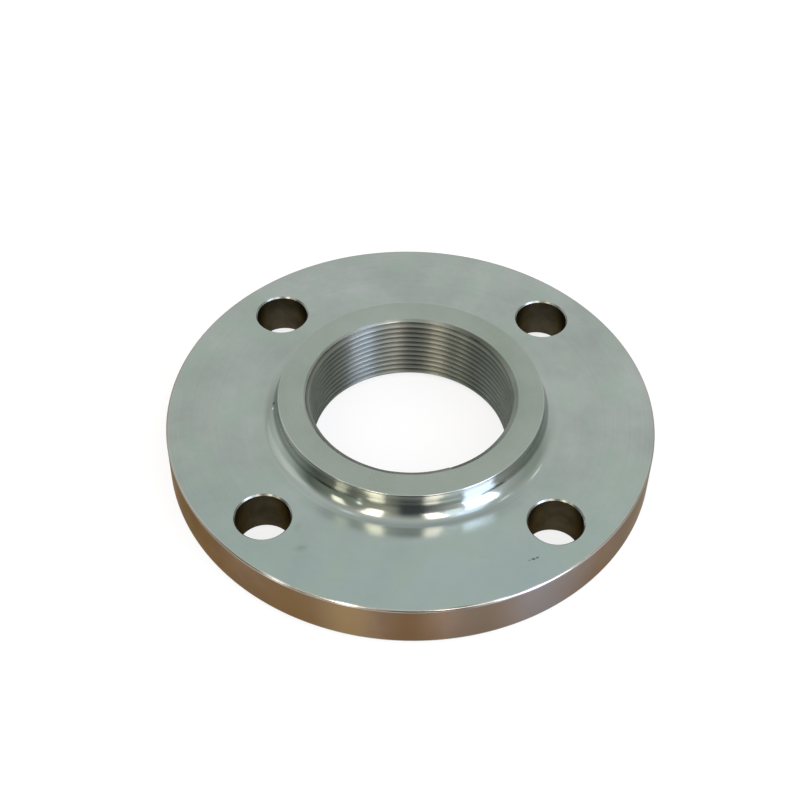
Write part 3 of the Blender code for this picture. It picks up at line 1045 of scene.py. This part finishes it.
# %% Tones of the screen
FADE_START = math.radians(26)
FADE_END = math.radians(78)

# Degrees round the room, 0 on the camera's side and growing to its right, and the tone there
SCREEN_TONES = (
    (-180, "#FFFFFF"), (-152, "#F4F5F3"), (-135, "#D4D8D3"), (-110, "#FFFFFF"), (-94, "#E4E8E4"),
    (-76, "#7C827E"), (-62, "#9A9C90"), (-43, "#ACABA0"), (-34, "#B8B6A8"), (-16, "#DCD8CC"),
    (-9, "#B4B2A8"), (-5, "#50575A"), (9, "#50575A"), (13, "#8E8E8E"), (28, "#DEDCDA"),
    (40, "#F0EEF0"), (66, "#FFFFFF"), (78, "#E4E2E4"), (90, "#CACECA"), (108, "#C4CCC4"),
    (126, "#F0F2F0"), (150, "#FFFFFF"),
)

screen_paint = bpy.data.materials.new("grey_card_screen")
screen_paint.use_nodes = True
tree = screen_paint.node_tree
tree.nodes.remove(tree.nodes["Principled BSDF"])
place = add_node(tree, "ShaderNodeTexCoord").outputs["Object"]
parts = add_node(tree, "ShaderNodeSeparateXYZ", {0: place}).outputs
towards_camera = add_node(tree, "ShaderNodeMath", {0: parts["Y"], 1: -1}, operation="MULTIPLY")
azimuth = add_node(tree, "ShaderNodeMath", {0: parts["X"], 1: towards_camera}, operation="ARCTAN2")
azimuth_share = add_node(tree, "ShaderNodeMapRange",
                         {"Value": azimuth, "From Min": -math.pi, "From Max": math.pi})
base = add_node(tree, "ShaderNodeValToRGB", {0: azimuth_share})
ramp = base.color_ramp

# A new stop starts anywhere on the ramp, and the next loop moves each stop to its place
while len(ramp.elements) < len(SCREEN_TONES):
    ramp.elements.new(0.5)
for element, (degrees, colour) in zip(ramp.elements, SCREEN_TONES):
    element.position = (degrees + 180) / 360
    element.color = srgb_to_linear(colour)
rise = add_node(tree, "ShaderNodeMath", {0: parts["Z"], 1: SCREEN_RADIUS}, operation="DIVIDE")
elevation = add_node(tree, "ShaderNodeMath", {0: rise}, operation="ARCTANGENT")
fade = add_node(tree, "ShaderNodeMapRange",
                {"Value": elevation, "From Min": FADE_START, "From Max": FADE_END},
                interpolation_type="SMOOTHSTEP")
tone = add_node(tree, "ShaderNodeMix", {0: fade, 6: base, 7: (1, 1, 1, 1)}, data_type="RGBA").outputs[2]
glow = add_node(tree, "ShaderNodeEmission", {"Color": tone, "Strength": 1})
tree.links.new(glow.outputs[0], tree.nodes["Material Output"].inputs["Surface"])
screen_mesh.materials.append(screen_paint)
screen.visible_camera = False
screen.visible_diffuse = False
screen.visible_shadow = False
print("tones round the screen:", len(SCREEN_TONES))

# %% [markdown]
# ## Lamps
#
# Every bright patch on the polished shoulder is the mirror image of a lamp or a window, and the same
# lamps draw the glints along the rim, round the holes and down the thread. So each lamp is placed by
# the direction in which its image shows: an azimuth, an elevation, and a width and height in
# degrees. Its brightness says how many times whiter than white it is, and an area lamp's power
# follows from that and its area. Three of them are weak: they are the sky and the haze beside the
# windows. Three small round ones give the short glints at the sides and at the back.

# %% Lamps placed by direction
LAMP_DISTANCE = 2.5


def add_lamp(name, azimuth, elevation, width, height, lean, brightness, colour, shape):
    """Area lamp that covers a patch of the surroundings, given in degrees as seen from the flange."""
    data = bpy.data.lights.new(name, "AREA")
    data.shape = shape
    data.size = 2 * LAMP_DISTANCE * math.tan(math.radians(width / 2)) * math.cos(math.radians(elevation))
    data.size_y = 2 * LAMP_DISTANCE * math.tan(math.radians(height / 2))
    data.color = srgb_to_linear(colour)[:3]
    data.energy = brightness * math.pi * data.size * data.size_y
    lamp = bpy.data.objects.new(name, data)
    bpy.context.scene.collection.objects.link(lamp)
    lamp.matrix_world = (
        Matrix.Rotation(math.radians(azimuth), 4, "Z")
        @ Matrix.Rotation(math.radians(90 - elevation), 4, "X")
        @ Matrix.Translation((0, 0, LAMP_DISTANCE))
        @ Matrix.Rotation(math.radians(lean), 4, "Z")
    )
    lamp.visible_camera = False


# Columns: name, then azimuth, elevation, width, height and lean in degrees, brightness, colour, shape
LAMPS = (
    ("left_window", -28, 45, 13, 38, 15, 5.6, "#FFEDDC", "RECTANGLE"),
    ("middle_window", 21, 48.5, 14, 33, -15, 5.0, "#FFEDE8", "RECTANGLE"),
    ("right_window", 52, 21, 23, 52, -14, 7.3, "#D4DDFF", "RECTANGLE"),
    ("right_window_sky", 60, 58, 26, 22, -14, 1.6, "#C0D8FF", "RECTANGLE"),
    ("right_window_haze", 35, 45, 16, 34, -10, 1.35, "#E6F0FF", "RECTANGLE"),
    ("far_left_window", -54, 34, 9, 26, 8, 2.6, "#FFF4E2", "RECTANGLE"),
    ("left_haze", -112, 40, 46, 24, 0, 0.28, "#FFFFFF", "RECTANGLE"),
    ("thin_gap", -35, 11, 2, 14, 0, 3.6, "#FFFFFF", "RECTANGLE"),
    ("left_spot", -100, 73, 5, 5, 0, 5, "#FFFFFF", "ELLIPSE"),
    ("right_spot", 104, 60, 5, 5, 0, 3, "#FFFFFF", "ELLIPSE"),
    ("far_right_spot", 130, 52, 5, 5, 0, 2, "#F0FFF4", "ELLIPSE"),
)
for lamp_columns in LAMPS:
    add_lamp(*lamp_columns)
print("lamps:", len(LAMPS))

# %% [markdown]
# ## Camera
#
# The camera looks down at 47 degrees from a little over half a metre, which is how the picture shows
# the flange. Its place is a distance and an elevation from the middle of the plate, and it is then
# turned in its own axes by small amounts, because a camera isn't aimed exactly at the middle.

# %% Camera at the picture's angle
CAMERA_DISTANCE = 543.68 * MM
CAMERA_ELEVATION = math.radians(47.173)
CAMERA_AZIMUTH = math.radians(-0.548)
CAMERA_PAN = math.radians(0.413)
CAMERA_TILT = math.radians(0.423)
CAMERA_ROLL = math.radians(1.375)
LENS = 67.97
SENSOR = 36

camera_data = bpy.data.cameras.new("camera")
camera_data.lens = LENS
camera_data.sensor_width = SENSOR
camera = bpy.data.objects.new("camera", camera_data)
bpy.context.scene.collection.objects.link(camera)
camera.matrix_world = (
    Matrix.Translation((0, 0, PLATE_FACE))
    @ Matrix.Rotation(CAMERA_AZIMUTH, 4, "Z")
    @ Matrix.Rotation(math.pi / 2 - CAMERA_ELEVATION, 4, "X")
    @ Matrix.Translation((0, 0, CAMERA_DISTANCE))
    @ Matrix.Rotation(CAMERA_PAN, 4, "Y")
    @ Matrix.Rotation(CAMERA_TILT, 4, "X")
    @ Matrix.Rotation(CAMERA_ROLL, 4, "Z")
)
bpy.context.scene.camera = camera
bpy.context.scene.view_settings.view_transform = "Standard"
print("camera at", [round(value, 3) for value in camera.matrix_world.translation])
